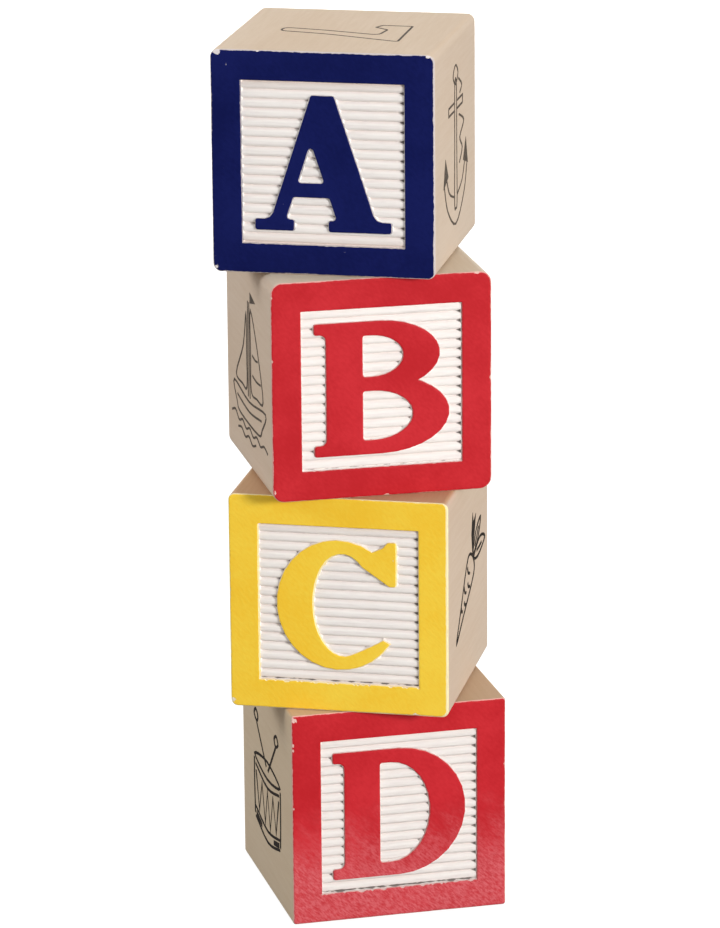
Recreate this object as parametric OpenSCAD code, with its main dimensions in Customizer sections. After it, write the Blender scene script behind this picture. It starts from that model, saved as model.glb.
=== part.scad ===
/* [Blocks] */
// Side of each wooden cube
block_side = 44.45; // [42:0.05:50]
// Rounding on the rim of each lettered face
rim_r = 0.4; // [0.3:0.05:0.8]
// Rounding on the long edges of the bottom block
bottom_edge_r = 0.6; // [0.3:0.1:3]
// Rounding on the long edges of the lower block
lower_edge_r = 1.4; // [0.3:0.1:3]
// Rounding on the long edges of the upper block
upper_edge_r = 2.4; // [0.3:0.1:3]
// Rounding on the long edges of the top block
top_edge_r = 1.6; // [0.3:0.1:3]

/* [Stacking] */
// Turn of the bottom block about the upright axis, in degrees
bottom_angle = 14; // [-20:0.1:20]
// Turn of the lower block, in degrees
lower_angle = -11.6; // [-20:0.1:20]
// Turn of the upper block, in degrees
upper_angle = 12.6; // [-20:0.1:20]
// Turn of the top block, in degrees
top_angle = -11.5; // [-20:0.1:20]
// Lower block, sideways from the middle of the base
lower_x = -2.1; // [-6:0.1:6]
// Lower block, back from the middle of the base
lower_y = -2.4; // [-6:0.1:6]
// Upper block, sideways from the middle of the base
upper_x = -2.4; // [-6:0.1:6]
// Upper block, back from the middle of the base
upper_y = -1; // [-6:0.1:6]
// Top block, sideways from the middle of the base
top_x = -4.4; // [-6:0.1:6]
// Top block, back from the middle of the base
top_y = 0.8; // [-6:0.1:6]
// Space between a block and the one that it stands on
stack_gap = 0.02; // [0.01:0.01:0.05]

/* [Lettered faces] */
// Width of the painted border round each panel
border_w = 6; // [4.8:0.1:6.2]
// Depth of the rib crests under the painted face
crest_depth = 0.45; // [0.3:0.05:0.8]
// Height of the ribs over the grooves between them
rib_h = 0.65; // [0.4:0.05:0.9]
// Number of ribs on a panel
rib_count = 17; // [12:1:20]
// Thickness of the coats of paint
coat_t = 0.15; // [0.1:0.01:0.2]

/* [Letters] */
// Space between a letter and the border, above and below it
letter_margin = 2.7; // [2.6:0.1:3.6]
// Width of the thick strokes
stem_w = 7.4; // [6.4:0.1:7.8]
// Width of the thin strokes
hair_w = 2.9; // [2.3:0.1:3.3]
// Thickness of the serifs
serif_t = 2.3; // [1.8:0.1:2.8]
// How far a serif stands out past its stem
serif_reach = 2.4; // [1.6:0.1:2.8]
// Round between a stem and its serif
bracket_r = 1.8; // [0.6:0.1:2.4]
// Round on the outer corners of the letters
nib_r = 0.5; // [0.2:0.1:0.7]

/* [Prints] */
// Thickness of the printing ink
ink_t = 0.06; // [0.04:0.01:0.15]
// Width of the finely printed lines
fine_line = 0.45; // [0.2:0.05:0.5]
// Width of the boldly printed lines
bold_line = 0.6; // [0.3:0.05:0.6]
// Height of the pictures on the two lower blocks
low_picture_h = 27; // [26:0.5:32]
// Height of the pictures on the two upper blocks
high_picture_h = 32; // [26:0.5:34]
// Stretch of the pictures and their lines sideways
picture_ratio = 1.4; // [1:0.05:1.4]
// Height of a printed number
number_h = 25; // [20:0.5:30]
// Number, back from the middle of the top face
number_back = -1.6; // [-4:0.1:4]

/* [Hidden] */
BLOCKS = ["block_d", "block_c", "block_b", "block_a"];
PIECES = ["body", "front_border", "front_letter", "front_ground", "back_border", "back_letter",
    "back_ground", "left_picture", "right_picture", "top_number"];

// From the bottom of the stack to the top
block_edge_r = [bottom_edge_r, lower_edge_r, upper_edge_r, top_edge_r];
block_angle = [bottom_angle, lower_angle, upper_angle, top_angle];
block_x = [0, lower_x, upper_x, top_x];
block_y = [0, lower_y, upper_y, top_y];
block_line = [bold_line, bold_line, fine_line, fine_line];
block_picture_h = [low_picture_h, low_picture_h, high_picture_h, high_picture_h];
paint_colour = ["crimson", "gold", "crimson", "navy"];
print_colour = ["black", "black", "dimgray", "dimgray"];

// Every cut runs this far past the face that it opens
overrun = 1;
// Degrees between the points of a rounded corner and of an oval
corner_angle = 36;
oval_angle = 12;
// Steps along each span of a printed curve
curve_steps = 4;
$fn = 48;

panel = block_side - 2 * border_w;
letter_h = panel - 2 * letter_margin;
rib_pitch = panel / rib_count;

// One rib, upwards from the middle of a groove: share of the pitch, share of the rib's height
rib_shares = [[0, 0], [0.22, 0.88], [0.36, 1], [0.64, 1], [0.78, 0.88]];

// Points on outlines

function unit(v) = v / norm(v);
function turned(v, a) = [v.x * cos(a) - v.y * sin(a), v.x * sin(a) + v.y * cos(a)];

// A corner at q between p and s, drawn as an arc of radius r where there is room for it
function round_corner(p, q, s, r) =
    let (a = unit(p - q))
    let (b = unit(s - q))
    let (half = acos(max(-1, min(1, a * b))) / 2)
    let (room = min(norm(p - q), norm(s - q)) / 2)
    let (fit_r = min(r, room * tan(half)))
    let (side = a.x * b.y - a.y * b.x > 0 ? -1 : 1)
    let (middle = q + unit(a + b) * fit_r / sin(half))
    let (sweep = 180 - 2 * half)
    let (steps = ceil(sweep / corner_angle))
    let (first = q + a * fit_r / tan(half) - middle)
    [for (i = [0:steps]) middle + turned(first, side * sweep * i / steps)];

// Corners [x, y, radius] to the points of a closed outline
function outline(c) = [
    for (i = [0:len(c) - 1])
        let (before = c[(i + len(c) - 1) % len(c)])
        let (after = c[(i + 1) % len(c)])
        let (q = [c[i].x, c[i].y])
        each c[i][2] > 0
            ? round_corner([before.x, before.y], q, [after.x, after.y], c[i][2])
            : [q]
];

// Points on part of an ellipse, as corners with no rounding of their own
function oval(x, y, rx, ry, from, to) =
    let (steps = ceil(abs(to - from) / oval_angle))
    [for (i = [0:steps])
        let (a = from + (to - from) * i / steps)
        [x + rx * cos(a), y + ry * sin(a), 0]];

// Points on a curve that leaves p for c and arrives at s
function bend(p, c, s) = [
    for (i = [0:curve_steps])
        let (t = i / curve_steps)
        let (q = p * (1 - t) * (1 - t) + c * 2 * t * (1 - t) + s * t * t)
        [q.x, q.y, 0]
];

// x at height y on a straight edge from x_low at the foot of a letter to x_high at its head
function lean(x_low, x_high, y) = x_low + (x_high - x_low) * y / letter_h;

// Letters, with the foot at y = 0 and the middle at x = 0

// Letter A: widths across the foot and the head as shares of the letter's height
a_foot_share = 0.83;
a_head_share = 0.17;
a_bar_share = 0.25;

module letter_a() {
    left = -a_foot_share * letter_h / 2;
    right = a_foot_share * letter_h / 2;
    head_left = -a_head_share * letter_h / 2;
    head_right = a_head_share * letter_h / 2;
    tilt = sqrt(1 + pow((right - head_right) / letter_h, 2));
    thick = stem_w * tilt;
    thin = hair_w * tilt;
    bar_low = a_bar_share * letter_h;
    bar_high = bar_low + hair_w;
    // The inner edges of the two legs meet here
    slope = (head_right - thick - head_left - thin) - (right - thick - left - thin);
    meet = (right - thick - left - thin) * letter_h / -slope;
    difference() {
        polygon(outline([
            [head_left, letter_h, nib_r],
            [lean(left, head_left, serif_t), serif_t, bracket_r],
            [left - serif_reach, serif_t, nib_r],
            [left - serif_reach, 0, nib_r],
            [left + thin + serif_reach, 0, nib_r],
            [left + thin + serif_reach, serif_t, nib_r],
            [lean(left, head_left, serif_t) + thin, serif_t, bracket_r],
            [lean(left, head_left, bar_low) + thin, bar_low, nib_r],
            [lean(right, head_right, bar_low) - thick, bar_low, nib_r],
            [lean(right, head_right, serif_t) - thick, serif_t, bracket_r],
            [right - thick - serif_reach, serif_t, nib_r],
            [right - thick - serif_reach, 0, nib_r],
            [right + serif_reach, 0, nib_r],
            [right + serif_reach, serif_t, nib_r],
            [lean(right, head_right, serif_t), serif_t, bracket_r],
            [head_right, letter_h, nib_r],
        ]));
        polygon(outline([
            [lean(left, head_left, bar_high) + thin, bar_high, nib_r],
            [lean(right, head_right, bar_high) - thick, bar_high, nib_r],
            [lean(left, head_left, meet) + thin, meet, nib_r],
        ]));
    }
}

// Letter B: widths of the two bowls, the height of the waist, as shares of the letter's height
b_low_share = 0.92;
b_high_share = 0.85;
b_waist_share = 0.53;
// The bowls start to curve this share of the way from the stem to their tips
bowl_start_share = 0.22;

// A bowl between two heights, from the left edge of the letter to a round tip
module bowl(left, tip, low, high) {
    start = left + stem_w + (tip - left - stem_w) * bowl_start_share;
    polygon(outline(concat(
        [[left, high, 0], [left, low, 0]],
        oval(start, (low + high) / 2, tip - start, (high - low) / 2, -90, 90)
    )));
}

// The space in a bowl, with a thick wall at its tip and thin ones above and below
module bowl_space(left, tip, low, high) {
    start = left + (tip - left - stem_w) * bowl_start_share;
    polygon(outline(concat(
        [[left, high - hair_w, nib_r], [left, low + hair_w, nib_r]],
        oval(start, (low + high) / 2, tip - stem_w - start, (high - low) / 2 - hair_w, -90, 90)
    )));
}

// A stem with a serif to its left at the foot and at the head
module left_stem(left) {
    polygon(outline([
        [left - serif_reach, 0, nib_r],
        [left + stem_w, 0, 0],
        [left + stem_w, letter_h, 0],
        [left - serif_reach, letter_h, nib_r],
        [left - serif_reach, letter_h - serif_t, nib_r],
        [left, letter_h - serif_t, bracket_r],
        [left, serif_t, bracket_r],
        [left - serif_reach, serif_t, nib_r],
    ]));
}

module letter_b() {
    low_tip = (b_low_share * letter_h + serif_reach) / 2;
    high_tip = low_tip - (b_low_share - b_high_share) * letter_h;
    left = serif_reach - low_tip;
    waist = b_waist_share * letter_h;
    difference() {
        union() {
            left_stem(left);
            bowl(left, low_tip, 0, waist + hair_w / 2);
            bowl(left, high_tip, waist - hair_w / 2, letter_h);
        }
        bowl_space(left + stem_w, low_tip, 0, waist + hair_w / 2);
        bowl_space(left + stem_w, high_tip, waist - hair_w / 2, letter_h);
    }
}

// Letter C: its width as a share of its height, and where its open side starts and ends
c_width_share = 0.93;
c_low_angle = -34;
c_low_inner_angle = -75;
c_high_angle = 57;
c_high_inner_angle = 50;
// Its upper end: the serif's width, height and step back from the right edge
c_serif_w_share = 0.1;
c_serif_h_share = 0.34;
c_serif_back_share = 0.03;

module letter_c() {
    rx = c_width_share * letter_h / 2;
    ry = letter_h / 2;
    inner_rx = (2 * rx - stem_w * 1.75) / 2;
    inner_x = stem_w - rx + inner_rx;
    inner_ry = ry - hair_w;
    serif_right = rx - c_serif_back_share * letter_h;
    serif_left = serif_right - c_serif_w_share * letter_h;
    serif_low = letter_h * (1 - c_serif_h_share);
    tip = [rx * cos(c_low_angle), ry + ry * sin(c_low_angle)];
    inner_tip = [tip.x - hair_w / 2, tip.y + hair_w / 4];
    hollow = [inner_x + inner_rx * cos(c_low_inner_angle), ry + inner_ry * sin(c_low_inner_angle)];
    // The lower end leaves the inner oval along the oval's own direction
    rise = -inner_ry / inner_rx / tan(c_low_inner_angle);
    pull_x = inner_tip.x - hair_w / 2;
    polygon(outline(concat(
        oval(0, ry, rx, ry, c_low_angle, c_high_angle - 360),
        [
            [serif_left, letter_h - serif_t / 2, nib_r],
            [serif_left + hair_w / 3, letter_h, nib_r],
            [serif_right, letter_h, nib_r],
            [serif_right, serif_low, nib_r],
            [serif_right - hair_w / 2, serif_low, nib_r],
        ],
        oval(inner_x, ry, inner_rx, inner_ry, c_high_inner_angle, 360 + c_low_inner_angle),
        bend(hollow, [pull_x, hollow.y + rise * (pull_x - hollow.x)], inner_tip)
    )));
}

// Letter D: its width as a share of its height
d_width_share = 1.02;

module letter_d() {
    tip = (d_width_share * letter_h + serif_reach) / 2 - serif_reach / 2;
    left = serif_reach - tip;
    difference() {
        union() {
            left_stem(left);
            bowl(left, tip, 0, letter_h);
        }
        bowl_space(left + stem_w, tip, 0, letter_h);
    }
}

module letter(k) {
    translate([0, -letter_h / 2]) {
        if (k == 0) letter_d();
        if (k == 1) letter_c();
        if (k == 2) letter_b();
        if (k == 3) letter_a();
    }
}

// Printed lines

function bent(a, b, c, d, t) =
    (2 * b + (c - a) * t + (2 * a - 5 * b + 4 * c - d) * t * t
        + (3 * b - a - 3 * c + d) * t * t * t) / 2;

// Points on a smooth curve through p, open or closed
function curve(p, closed = false) =
    let (n = len(p))
    [
        for (i = [0:closed ? n - 1 : n - 2])
            for (j = [0:curve_steps - 1])
                let (a = closed ? p[(i + n - 1) % n] : p[max(i - 1, 0)])
                let (d = closed ? p[(i + 2) % n] : p[min(i + 2, n - 1)])
                bent(a, p[i], p[(i + 1) % n], d, j / curve_steps),
        if (!closed) p[n - 1]
    ];

// The direction across a line at its point i
function across(p, i, closed) =
    let (n = len(p))
    let (before = closed ? p[(i + n - 1) % n] : p[max(i - 1, 0)])
    let (after = closed ? p[(i + 1) % n] : p[min(i + 1, n - 1)])
    let (a = p[i] == before ? unit(after - p[i]) : unit(p[i] - before))
    let (b = p[i] == after ? a : unit(after - p[i]))
    let (middle = unit(a + b))
    turned(middle, 90) / max(0.5, middle * a);

function stretched(p, ratio) = [for (q = p) [q.x * ratio, q.y]];

// A line of width w through p, then stretched sideways with its width
module line(p, w, closed = false, ratio = 1) {
    near = stretched([for (i = [0:len(p) - 1]) p[i] - across(p, i, closed) * w / 2], ratio);
    far = stretched([for (i = [0:len(p) - 1]) p[i] + across(p, i, closed) * w / 2], ratio);
    n = len(p);
    if (closed)
        polygon(concat(near, far), [[for (i = [0:n - 1]) i], [for (i = [0:n - 1]) n + i]]);
    else
        polygon(concat(near, [for (i = [n - 1:-1:0]) far[i]]));
}

// Each picture is a list of lines: "open", "loop", "bar" or "solid", then points as shares of its height.
// Open lines and loops are smooth curves, and bars and solids are straight.
anchor_shares = [
    ["loop", [[0, 0.5], [0.06, 0.44], [0, 0.38], [-0.06, 0.44]]],
    ["loop", [[-0.02, 0.37], [0.02, 0.37], [0.025, 0], [0.03, -0.36], [0, -0.4], [-0.03, -0.36], [-0.025, 0]]],
    ["bar", [[-0.17, 0.27], [-0.17, 0.22], [-0.04, 0.22]]],
    ["bar", [[-0.17, 0.27], [-0.04, 0.27]]],
    ["bar", [[0.17, 0.22], [0.17, 0.27], [0.04, 0.27]]],
    ["bar", [[0.17, 0.22], [0.04, 0.22]]],
    ["open", [[-0.04, -0.32], [-0.16, -0.26], [-0.24, -0.12]]],
    ["open", [[-0.28, -0.18], [-0.2, -0.36], [0, -0.5], [0.2, -0.36], [0.28, -0.18]]],
    ["open", [[0.04, -0.32], [0.16, -0.26], [0.24, -0.12]]],
    ["solid", [[-0.3, -0.2], [-0.25, -0.02], [-0.18, -0.15]]],
    ["solid", [[0.3, -0.2], [0.18, -0.15], [0.25, -0.02]]],
    ["open", [[0.07, 0.4], [0.15, 0.34], [0.1, 0.3]]],
    ["open", [[0.08, 0.17], [0.2, 0.1], [0.1, 0.02], [0.16, -0.06], [0.09, -0.14]]],
];

apple_shares = [
    ["loop", [[0, 0.26], [0.16, 0.32], [0.33, 0.2], [0.34, -0.06], [0.22, -0.34], [0.07, -0.43], [0, -0.4],
        [-0.07, -0.43], [-0.22, -0.34], [-0.34, -0.06], [-0.33, 0.2], [-0.16, 0.32]]],
    ["open", [[-0.02, 0.29], [0, 0.38], [0.05, 0.46]]],
    ["loop", [[0.06, 0.4], [0.16, 0.47], [0.28, 0.44], [0.19, 0.36]]],
    ["open", [[0.11, 0.415], [0.16, 0.425], [0.2, 0.43]]],
    ["open", [[-0.1, 0.24], [0, 0.21], [0.1, 0.24]]],
    ["open", [[-0.25, 0.14], [-0.28, 0], [-0.22, -0.16]]],
    ["open", [[0.29, -0.02], [0.25, -0.18], [0.16, -0.3]]],
];

boat_shares = [
    ["loop", [[-0.34, -0.2], [0, -0.23], [0.36, -0.18], [0.28, -0.31], [0.2, -0.37], [-0.2, -0.37], [-0.28, -0.32]]],
    ["open", [[-0.27, -0.27], [0, -0.295], [0.27, -0.255]]],
    ["open", [[-0.02, -0.2], [-0.015, 0.14], [-0.01, 0.42]]],
    ["open", [[0.02, -0.2], [0.015, 0.14], [0.02, 0.42]]],
    ["loop", [[0.05, 0.38], [0.2, 0.16], [0.31, -0.12], [0.17, -0.15], [0.05, -0.14], [0.045, 0.1]]],
    ["open", [[0.08, 0.1], [0.15, 0.09], [0.2, 0.1]]],
    ["open", [[0.08, -0.03], [0.17, -0.04], [0.26, -0.03]]],
    ["loop", [[-0.05, 0.33], [-0.12, 0.1], [-0.29, -0.14], [-0.15, -0.16], [-0.05, -0.15], [-0.045, 0.08]]],
    ["solid", [[0.04, 0.42], [0.16, 0.455], [0.04, 0.49]]],
    ["open", [[-0.4, -0.42], [-0.32, -0.39], [-0.24, -0.43], [-0.16, -0.4], [-0.08, -0.43], [0, -0.4],
        [0.08, -0.43], [0.16, -0.4], [0.24, -0.43], [0.32, -0.4], [0.4, -0.42]]],
    ["open", [[-0.26, -0.48], [-0.18, -0.46], [-0.1, -0.49], [-0.02, -0.46], [0.06, -0.49], [0.14, -0.46]]],
];

bell_shares = [
    ["loop", [[0, 0.38], [0.12, 0.33], [0.18, 0.1], [0.22, -0.12], [0.34, -0.26], [0.2, -0.3], [0, -0.31],
        [-0.2, -0.3], [-0.34, -0.26], [-0.22, -0.12], [-0.18, 0.1], [-0.12, 0.33]]],
    ["loop", [[0, 0.5], [0.05, 0.45], [0, 0.4], [-0.05, 0.45]]],
    ["open", [[-0.24, -0.2], [0, -0.235], [0.24, -0.2]]],
    ["open", [[-0.17, 0.04], [0, 0.01], [0.17, 0.04]]],
    ["loop", [[0, -0.33], [0.08, -0.39], [0, -0.46], [-0.08, -0.39]]],
    ["open", [[-0.11, 0.22], [-0.1, 0.12], [-0.12, 0.06]]],
];

upright_carrot_shares = [
    ["loop", [[-0.11, 0.14], [0, 0.18], [0.11, 0.14], [0.12, 0.02], [0.05, -0.28], [0, -0.5], [-0.05, -0.3],
        [-0.12, 0.02]]],
    ["open", [[-0.09, 0.05], [-0.04, 0.03], [0.01, 0.05]]],
    ["open", [[0.085, -0.02], [0.04, -0.045], [0, -0.03]]],
    ["open", [[-0.085, -0.1], [-0.03, -0.12], [0.01, -0.1]]],
    ["open", [[0.065, -0.17], [0.03, -0.19], [0, -0.18]]],
    ["open", [[-0.055, -0.25], [-0.02, -0.265], [0.005, -0.25]]],
    ["solid", [[-0.02, 0.19], [-0.15, 0.28], [-0.24, 0.42], [-0.16, 0.38], [-0.14, 0.46], [-0.08, 0.34]]],
    ["loop", [[0, 0.19], [0.06, 0.34], [0.02, 0.5], [-0.04, 0.36]]],
    ["open", [[0.01, 0.26], [0.015, 0.34], [0.01, 0.42]]],
    ["loop", [[0.04, 0.19], [0.16, 0.25], [0.26, 0.44], [0.11, 0.38]]],
    ["open", [[0.09, 0.26], [0.14, 0.31], [0.19, 0.37]]],
];
carrot_angle = -45;
carrot_shares = [for (l = upright_carrot_shares) [l[0], [for (q = l[1]) turned(q, carrot_angle)]]];

cup_shares = [
    ["loop", [[-0.3, 0.1], [0, 0.04], [0.24, 0.1], [0, 0.16]]],
    ["open", [[-0.3, 0.06], [-0.26, -0.14], [-0.16, -0.3]]],
    ["open", [[0.24, 0.06], [0.2, -0.14], [0.1, -0.3]]],
    ["open", [[0.25, 0.02], [0.36, 0.02], [0.36, -0.12], [0.22, -0.16]]],
    ["open", [[0.25, -0.03], [0.32, -0.02], [0.31, -0.1], [0.23, -0.12]]],
    ["loop", [[-0.4, -0.33], [-0.03, -0.29], [0.36, -0.33], [0.2, -0.42], [-0.03, -0.44], [-0.24, -0.42]]],
    ["open", [[-0.25, -0.36], [-0.03, -0.33], [0.2, -0.36]]],
    ["open", [[-0.12, 0.2], [-0.17, 0.27], [-0.1, 0.34], [-0.14, 0.42]]],
    ["open", [[0.04, 0.2], [-0.01, 0.28], [0.06, 0.37], [0.01, 0.47]]],
    ["open", [[-0.21, 0.02], [-0.19, -0.1], [-0.15, -0.18]]],
];

drum_shares = [
    ["loop", [[-0.3, 0.12], [0, 0.05], [0.3, 0.12], [0, 0.19]]],
    ["open", [[-0.31, 0.09], [-0.31, -0.14], [-0.3, -0.36]]],
    ["open", [[0.31, 0.09], [0.31, -0.14], [0.3, -0.36]]],
    ["open", [[-0.29, -0.38], [0, -0.46], [0.29, -0.38]]],
    ["open", [[-0.29, -0.3], [0, -0.37], [0.29, -0.3]]],
    ["open", [[-0.28, 0.05], [0, -0.02], [0.28, 0.05]]],
    ["bar", [[-0.27, 0], [-0.2, -0.29], [-0.13, -0.04], [-0.06, -0.33], [0, -0.05], [0.06, -0.33],
        [0.13, -0.04], [0.2, -0.29], [0.27, 0]]],
    ["solid", [[-0.27, -0.33], [-0.14, -0.37], [-0.14, -0.41], [-0.27, -0.375]]],
    ["solid", [[0.27, -0.33], [0.27, -0.375], [0.14, -0.41], [0.14, -0.37]]],
    ["bar", [[-0.02, 0.14], [-0.24, 0.4]]],
    ["bar", [[0.02, 0.12], [0.21, 0.4]]],
    ["loop", [[-0.24, 0.41], [-0.21, 0.46], [-0.26, 0.5], [-0.3, 0.45]]],
    ["loop", [[0.21, 0.41], [0.27, 0.45], [0.23, 0.5], [0.18, 0.46]]],
];

// A daisy's petals follow a formula, and its stem and leaves are lines
petal_count = 7;
petal_share = 0.2;
petal_dip_share = 0.12;
daisy_middle_share = 0.27;
daisy_shares = [
    ["loop", [for (i = [0:2 * petal_count - 1])
        let (r = i % 2 == 0 ? petal_share : petal_dip_share)
        [0, daisy_middle_share] + r * [cos(180 * i / petal_count), sin(180 * i / petal_count)]]],
    ["loop", [[0, 0.31], [0.04, 0.27], [0, 0.23], [-0.04, 0.27]]],
    ["open", [[0.01, 0.1], [0.03, -0.12], [0, -0.32], [-0.03, -0.5]]],
    ["loop", [[0.03, -0.3], [0.12, -0.15], [0.27, -0.08], [0.2, -0.22]]],
    ["open", [[0.08, -0.24], [0.14, -0.18], [0.2, -0.13]]],
    ["loop", [[-0.04, -0.4], [-0.13, -0.24], [-0.27, -0.18], [-0.21, -0.33]]],
    ["open", [[-0.09, -0.34], [-0.15, -0.27], [-0.21, -0.23]]],
];

left_pictures_shares = [drum_shares, cup_shares, boat_shares, apple_shares];
right_pictures_shares = [daisy_shares, carrot_shares, bell_shares, anchor_shares];

module picture(k, lines_shares) {
    w = block_line[k];
    for (l = lines_shares) {
        p = l[1] * block_picture_h[k];
        if (l[0] == "open") line(curve(p), w, false, picture_ratio);
        if (l[0] == "loop") line(curve(p, true), w, true, picture_ratio);
        if (l[0] == "bar") line(p, w, false, picture_ratio);
        if (l[0] == "solid") polygon(stretched(p, picture_ratio));
    }
}

// Outlined numbers, as corners in shares of the height: x, y, radius
seven_shares = [
    [-0.32, 0.5, 0.01], [-0.33, 0.26, 0.01], [-0.24, 0.22, 0.01], [-0.15, 0.33, 0.03], [0.07, 0.3, 0.05],
    [-0.06, -0.15, 0.6], [-0.13, -0.5, 0.05], [0.01, -0.5, 0.05], [0.09, -0.12, 0.8], [0.32, 0.5, 0.02]
];
four_shares = [
    [0.06, 0.5, 0.02], [-0.3, -0.14, 0.02], [-0.3, -0.25, 0.02], [0.05, -0.25, 0.01], [0.05, -0.5, 0.02],
    [0.19, -0.5, 0.02], [0.19, -0.25, 0.01], [0.3, -0.25, 0.02], [0.3, -0.14, 0.02], [0.19, -0.14, 0.01],
    [0.19, 0.5, 0.02]
];
four_space_shares = [[0.05, 0.24, 0.01], [-0.17, -0.14, 0.01], [0.05, -0.14, 0.01]];
one_shares = [
    [0.08, 0.5, 0.02], [-0.02, 0.5, 0.04], [-0.18, 0.38, 0.02], [-0.18, 0.27, 0.02], [-0.06, 0.33, 0.02],
    [-0.06, -0.4, 0.01], [-0.2, -0.4, 0.02], [-0.2, -0.5, 0.02], [0.22, -0.5, 0.02], [0.22, -0.4, 0.02],
    [0.08, -0.4, 0.01]
];
zero_w_share = 0.3;
zero_space_w_share = 0.17;
zero_space_h_share = 0.37;

function as_points(corners) = [for (c = corners) [c.x, c.y]];
function sized(shares) = [for (c = shares) c * number_h];

module number_line(corners) line(as_points(outline(sized(corners))), fine_line, true);
function zero_ring(w_share, h_share) = oval(0, 0, w_share * number_h, h_share * number_h, 0, 360 - oval_angle);

module top_number(k) {
    if (k == 0) {
        line(as_points(zero_ring(zero_w_share, 0.5)), fine_line, true);
        line(as_points(zero_ring(zero_space_w_share, zero_space_h_share)), fine_line, true);
    }
    if (k == 1) number_line(one_shares);
    if (k == 2) {
        number_line(four_shares);
        number_line(four_space_shares);
    }
    if (k == 3) number_line(seven_shares);
}

// Faces of a block. Each puts its children on the face, from `sunk` under it and `t` thick.

module on_side(spin, sunk, t) {
    rotate([90, 0, spin])
        translate([0, 0, block_side / 2 - sunk])
            linear_extrude(t) children();
}

module on_top(sunk, t) {
    translate([0, 0, block_side / 2 - sunk])
        linear_extrude(t) translate([0, number_back]) rotate(-90) children();
}

module round_square(r) {
    square([block_side - 2 * r, block_side], center = true);
    square([block_side, block_side - 2 * r], center = true);
    for (x = [-1, 1], y = [-1, 1])
        translate([x, y] * (block_side / 2 - r)) circle(r);
}

// The whole block, whose long edges run from front to back
module blank(k) {
    intersection() {
        rotate([90, 0, 0]) linear_extrude(block_side, center = true) round_square(block_edge_r[k]);
        linear_extrude(block_side, center = true) round_square(rim_r);
        rotate([90, 0, 90]) linear_extrude(block_side, center = true) round_square(rim_r);
    }
}

// The ribbed surface at a depth, from the foot of the panel to its head
function ribs(depth) = [
    for (i = [0:rib_count - 1])
        for (s = rib_shares)
            [depth - s.y * rib_h - block_side / 2, (i + s.x) * rib_pitch - panel / 2],
    [depth - block_side / 2, panel / 2]
];

module across_panel(spin, outline_points) {
    rotate([0, 0, spin])
        rotate([90, 0, 90])
            linear_extrude(panel, center = true) polygon(outline_points);
}

groove_depth = crest_depth + rib_h + coat_t;
front_y = -block_side / 2 - overrun;

// What is cut away round a letter, down to the ribs
module trough(spin, k) {
    difference() {
        across_panel(spin, concat(ribs(groove_depth), [[front_y, panel / 2], [front_y, -panel / 2]]));
        on_side(spin, groove_depth + overrun, groove_depth + 3 * overrun) letter(k);
    }
}

// The pale ground coat that lies over the ribs
module ground(spin, k) {
    back = ribs(groove_depth);
    front = ribs(groove_depth - coat_t);
    difference() {
        across_panel(spin, concat(back, [for (i = [len(front) - 1:-1:0]) front[i]]));
        on_side(spin, groove_depth + overrun, groove_depth + 3 * overrun) letter(k);
    }
}

module border(spin, k) {
    difference() {
        intersection() {
            blank(k);
            on_side(spin, coat_t, coat_t + overrun) square(block_side, center = true);
        }
        on_side(spin, coat_t + overrun, coat_t + 3 * overrun) square(panel, center = true);
    }
}

module body(k) {
    difference() {
        blank(k);
        for (spin = [0, 180]) {
            on_side(spin, coat_t, coat_t + overrun) square(block_side + overrun, center = true);
            trough(spin, k);
        }
        on_top(ink_t, ink_t + overrun) top_number(k);
    }
}

module piece(k, name) {
    if (name == "body") color("burlywood") body(k);
    if (name == "front_border") color(paint_colour[k]) border(0, k);
    if (name == "front_letter") color(paint_colour[k]) on_side(0, coat_t, coat_t) letter(k);
    if (name == "front_ground") color("white") ground(0, k);
    if (name == "back_border") color(paint_colour[k]) border(180, k);
    if (name == "back_letter") color(paint_colour[k]) on_side(180, coat_t, coat_t) letter(k);
    if (name == "back_ground") color("white") ground(180, k);
    if (name == "left_picture") color(print_colour[k]) on_side(-90, 0, ink_t) picture(k, left_pictures_shares[k]);
    if (name == "right_picture") color(print_colour[k]) on_side(90, 0, ink_t) picture(k, right_pictures_shares[k]);
    if (name == "top_number") color(print_colour[k]) on_top(ink_t, ink_t) top_number(k);
}

// Each block stands on the one under it
module placed(k) {
    z = (k + 0.5) * block_side + k * stack_gap;
    translate([block_x[k], block_y[k], z]) rotate(block_angle[k]) children();
}

for (k = [0:len(BLOCKS) - 1])
    for (name = PIECES)
        placed(k) piece(k, name);
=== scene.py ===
import math
import bmesh
import bpy
from mathutils import Matrix, Vector, noise
from mathutils.geometry import tessellate_polygon


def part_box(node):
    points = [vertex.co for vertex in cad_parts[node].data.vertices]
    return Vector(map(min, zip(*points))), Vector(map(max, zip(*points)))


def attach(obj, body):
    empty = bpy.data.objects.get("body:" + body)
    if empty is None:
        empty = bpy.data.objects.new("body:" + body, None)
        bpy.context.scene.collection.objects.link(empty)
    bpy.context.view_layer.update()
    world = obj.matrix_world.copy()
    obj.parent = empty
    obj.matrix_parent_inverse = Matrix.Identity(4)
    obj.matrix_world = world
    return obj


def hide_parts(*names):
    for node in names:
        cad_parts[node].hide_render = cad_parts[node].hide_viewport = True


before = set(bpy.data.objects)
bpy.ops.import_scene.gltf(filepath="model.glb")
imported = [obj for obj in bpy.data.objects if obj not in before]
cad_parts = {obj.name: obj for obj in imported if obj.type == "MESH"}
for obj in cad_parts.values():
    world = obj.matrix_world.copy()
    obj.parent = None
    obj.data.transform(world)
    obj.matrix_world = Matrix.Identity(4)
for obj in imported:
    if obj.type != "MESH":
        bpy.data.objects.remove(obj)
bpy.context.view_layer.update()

mm = 0.001
scene = bpy.context.scene
scene.view_settings.view_transform = "Standard"
print("frame loaded:", len(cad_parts), "nodes")

# Camera and light

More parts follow.
